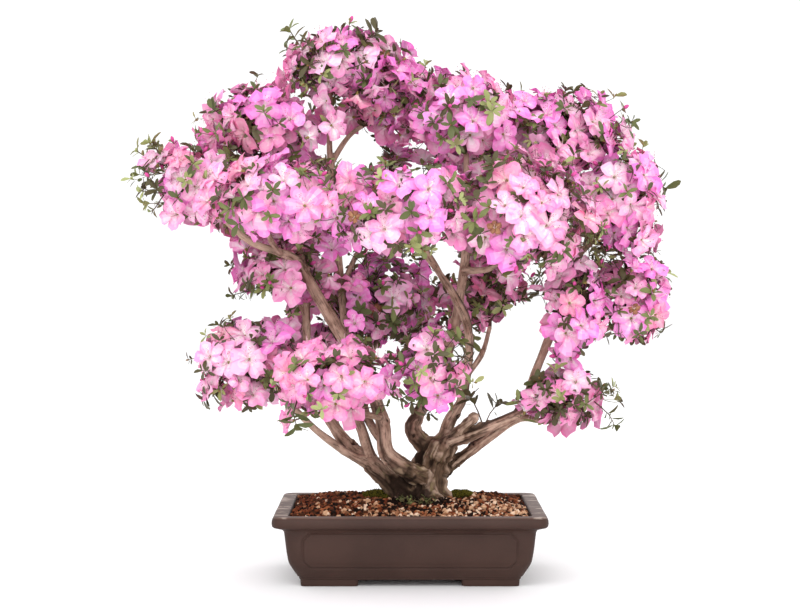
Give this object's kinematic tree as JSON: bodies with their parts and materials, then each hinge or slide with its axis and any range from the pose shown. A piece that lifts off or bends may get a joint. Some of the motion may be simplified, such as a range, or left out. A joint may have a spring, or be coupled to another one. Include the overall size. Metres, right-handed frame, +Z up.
{
  "type": "bonsai tree",
  "caption": "Azalea bonsai in full pink bloom on spreading, forked stems, in a rectangular unglazed pot on low feet.",
  "frame": {"origin": "on the ground under the middle of the plant's spread, at the level of the pot's feet", "axes": "+Z up; -Y is the front, the side that the picture shows; +X to the right seen from the front"},
  "size_m": [0.7364, 0.4543, 0.7487],
  "materials": {
    "pot_clay": "unglazed matt",
    "soil": "loose grit",
    "moss": "matt",
    "bark": "rough bark",
    "foliage": "matt petals and leaves"
  },
  "bodies": {
    "root": {"bough_apex": "bark", "bough_back_left": "bark", "bough_back_low": "bark", "bough_back_low_left": "bark", "bough_back_low_right": "bark", "bough_back_mid": "bark", "bough_back_right": "bark", "bough_back_top": "bark", "bough_centre": "bark", "bough_centre_left": "bark", "bough_far_left": "bark", "bough_knee": "bark", "bough_left_front": "bark", "bough_left_inner": "bark", "bough_left_outer": "bark", "bough_left_reach": "bark", "bough_low_front": "bark", "bough_low_front_left": "bark", "bough_low_right": "bark", "bough_mid_right": "bark", "bough_right_front": "bark", "bough_right_high": "bark", "bough_right_inner": "bark", "bough_right_low": "bark", "bough_right_reach": "bark", "bough_right_shoulder": "bark", "bough_upper_mid": "bark", "dead_stub": "bark", "foliage_apex": "foliage", "foliage_back_left": "foliage", "foliage_back_low": "foliage", "foliage_back_low_left": "foliage", "foliage_back_low_right": "foliage", "foliage_back_mid": "foliage", "foliage_back_right": "foliage", "foliage_back_top": "foliage", "foliage_centre_front": "foliage", "foliage_left_front": "foliage", "foliage_left_inner": "foliage", "foliage_left_reach": "foliage", "foliage_left_shoulder": "foliage", "foliage_low_front": "foliage", "foliage_low_front_left": "foliage", "foliage_low_left": "foliage", "foliage_low_right": "foliage", "foliage_mid_right": "foliage", "foliage_right_front": "foliage", "foliage_right_inner": "foliage", "foliage_right_reach": "foliage", "foliage_right_shoulder": "foliage", "foliage_upper_centre": "foliage", "foliage_upper_mid": "foliage", "foliage_upper_right": "foliage", "leaning_stem": "bark", "moss_left": "moss", "moss_right": "moss", "pot": "pot_clay", "soil": "soil", "trunk": "bark"}
  },
  "joints": []
}
